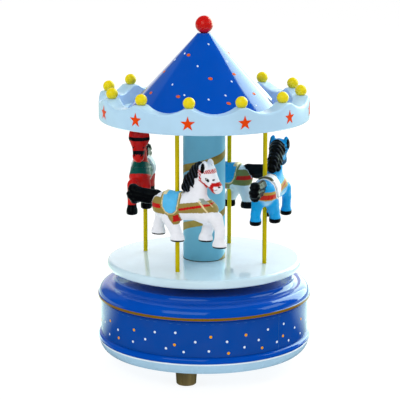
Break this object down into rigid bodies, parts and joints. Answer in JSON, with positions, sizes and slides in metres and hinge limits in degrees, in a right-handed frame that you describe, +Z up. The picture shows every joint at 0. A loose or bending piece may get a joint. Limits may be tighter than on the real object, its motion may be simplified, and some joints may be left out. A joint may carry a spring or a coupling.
{
  "type": "carousel music box",
  "caption": "Wooden wind-up music box: a round base with a musical movement inside turns a small carousel of painted horses on poles under a scalloped canopy.",
  "frame": {"origin": "on the ground under the centre of the base, midway between the feet's undersides and the turning axis", "axes": "+Z up along the turning axis, -Y towards the front, +X to the right of someone facing the front"},
  "size_m": [0.11, 0.11, 0.18],
  "materials": {
    "foot_lacquer": "satin olive bronze lacquer on turned wood",
    "pale_blue_lacquer": "gloss pale blue lacquer on turned wood",
    "blue_lacquer": "gloss blue lacquer on turned wood",
    "printed_film": "glossy printed film, blue with dots",
    "screw_steel": "zinc-plated",
    "brass": "plain",
    "nylon": "natural nylon",
    "zinc_casting": "bare casting",
    "spring_steel": "ground and blued",
    "sheet_steel": "nickel-plated",
    "ice_blue_lacquer": "gloss icy blue lacquer on turned wood",
    "teal_lacquer": "satin teal lacquer on turned wood",
    "yellow_lacquer": "satin yellow lacquer",
    "rim_blue_lacquer": "gloss pale blue lacquer on turned wood",
    "bead_yellow": "gloss yellow lacquer",
    "star_sticker": "printed sticker",
    "red_lacquer": "gloss red lacquer",
    "plain_wood": "bare",
    "white_paint": "hand-painted gloss",
    "sky_blue_paint": "hand-painted gloss",
    "pale_grey_paint": "hand-painted gloss",
    "red_paint": "hand-painted gloss"
  },
  "bodies": {
    "base": {"foot_front": "foot_lacquer", "foot_right": "foot_lacquer", "foot_left": "foot_lacquer", "base_plate": "pale_blue_lacquer", "base_drum": "blue_lacquer", "print_sleeve": "printed_film", "base_cover": "blue_lacquer", "plate_screws": "screw_steel", "spindle_bush": "brass", "thrust_washer": "nylon", "movement_bedplate": "zinc_casting", "movement_screws": "screw_steel", "comb": "spring_steel", "comb_screws": "brass", "governor_bracket": "sheet_steel", "bracket_screws": "brass"},
    "carousel": {"spring_barrel": "brass", "barrel_lid": "brass", "mainspring": "spring_steel", "drive_spindle": "sheet_steel", "drive_flange": "sheet_steel", "flange_screws": "screw_steel", "platform": "ice_blue_lacquer", "column": "teal_lacquer", "column_screw": "screw_steel", "pole_front": "yellow_lacquer", "pole_right": "yellow_lacquer", "pole_back": "yellow_lacquer", "pole_left": "yellow_lacquer", "horse_front": "white_paint", "horse_right": "sky_blue_paint", "horse_back": "pale_grey_paint", "horse_left": "red_paint", "canopy_rim": "rim_blue_lacquer", "canopy_screw": "screw_steel", "roof_cone": "blue_lacquer", "rim_beads": "bead_yellow", "rim_stars": "star_sticker", "finial_ball": "red_lacquer", "finial_pin": "plain_wood"},
    "key": {"winding_arbor": "sheet_steel", "winding_key": "brass"},
    "cylinder": {"note_cylinder": "brass", "cylinder_shaft": "sheet_steel", "cylinder_pinion": "brass", "cylinder_gear": "brass"},
    "second_arbor": {"second_arbor": "sheet_steel", "second_pinion": "brass", "worm_wheel": "nylon"},
    "governor": {"governor_worm": "sheet_steel", "governor_fan": "nylon"}
  },
  "joints": [
    {"name": "carousel_turn", "type": "hinge", "parent": "base", "child": "carousel", "pos_m": [0, 0, 0.048], "axis": [0, 0, 1], "continuous": true},
    {"name": "key_wind", "type": "hinge", "parent": "base", "child": "key", "pos_m": [0, 0, 0.01], "axis": [0, 0, 1], "continuous": true},
    {"name": "cylinder_turn", "type": "hinge", "parent": "base", "child": "cylinder", "pos_m": [0.03, 0, 0.0308], "axis": [1, 0, 0], "continuous": true},
    {"name": "second_arbor_turn", "type": "hinge", "parent": "base", "child": "second_arbor", "pos_m": [0.035, -0.01097, 0.0248], "axis": [1, 0, 0], "continuous": true},
    {"name": "governor_spin", "type": "hinge", "parent": "base", "child": "governor", "pos_m": [0.034, -0.01747, 0.0248], "axis": [0, 0, 1], "continuous": true}
  ],
  "couplings": [
    {"joint": "cylinder_turn", "follows": "carousel_turn", "ratio": 4},
    {"joint": "second_arbor_turn", "follows": "carousel_turn", "ratio": -16},
    {"joint": "governor_spin", "follows": "carousel_turn", "ratio": -192}
  ]
}
